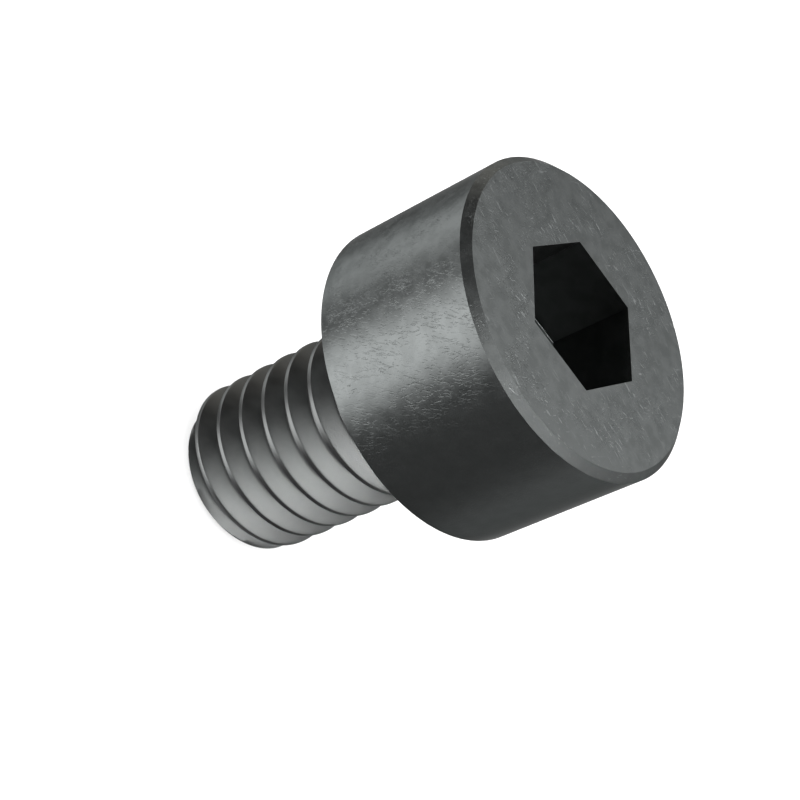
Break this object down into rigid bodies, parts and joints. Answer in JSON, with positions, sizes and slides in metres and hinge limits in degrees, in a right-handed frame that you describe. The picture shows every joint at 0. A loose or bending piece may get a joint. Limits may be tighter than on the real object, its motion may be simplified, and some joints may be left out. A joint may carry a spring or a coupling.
{
  "type": "socket head cap screw",
  "caption": "Short metric socket head cap screw: plain cylindrical head with a hexagonal socket, and a right-hand threaded shank with a chamfered tip.",
  "frame": {"origin": "middle of the bearing face under the head, on the screw's axis", "axes": "+Z along the axis towards the socket, +X through one corner of the hexagonal socket; the flat tip is at the bottom"},
  "size_m": [0.007, 0.007, 0.0099],
  "materials": {
    "blackened_steel": "black oxide over alloy steel, satin, with fine handling scratches on the head"
  },
  "bodies": {
    "root": {"cap_screw": "blackened_steel"}
  },
  "joints": []
}
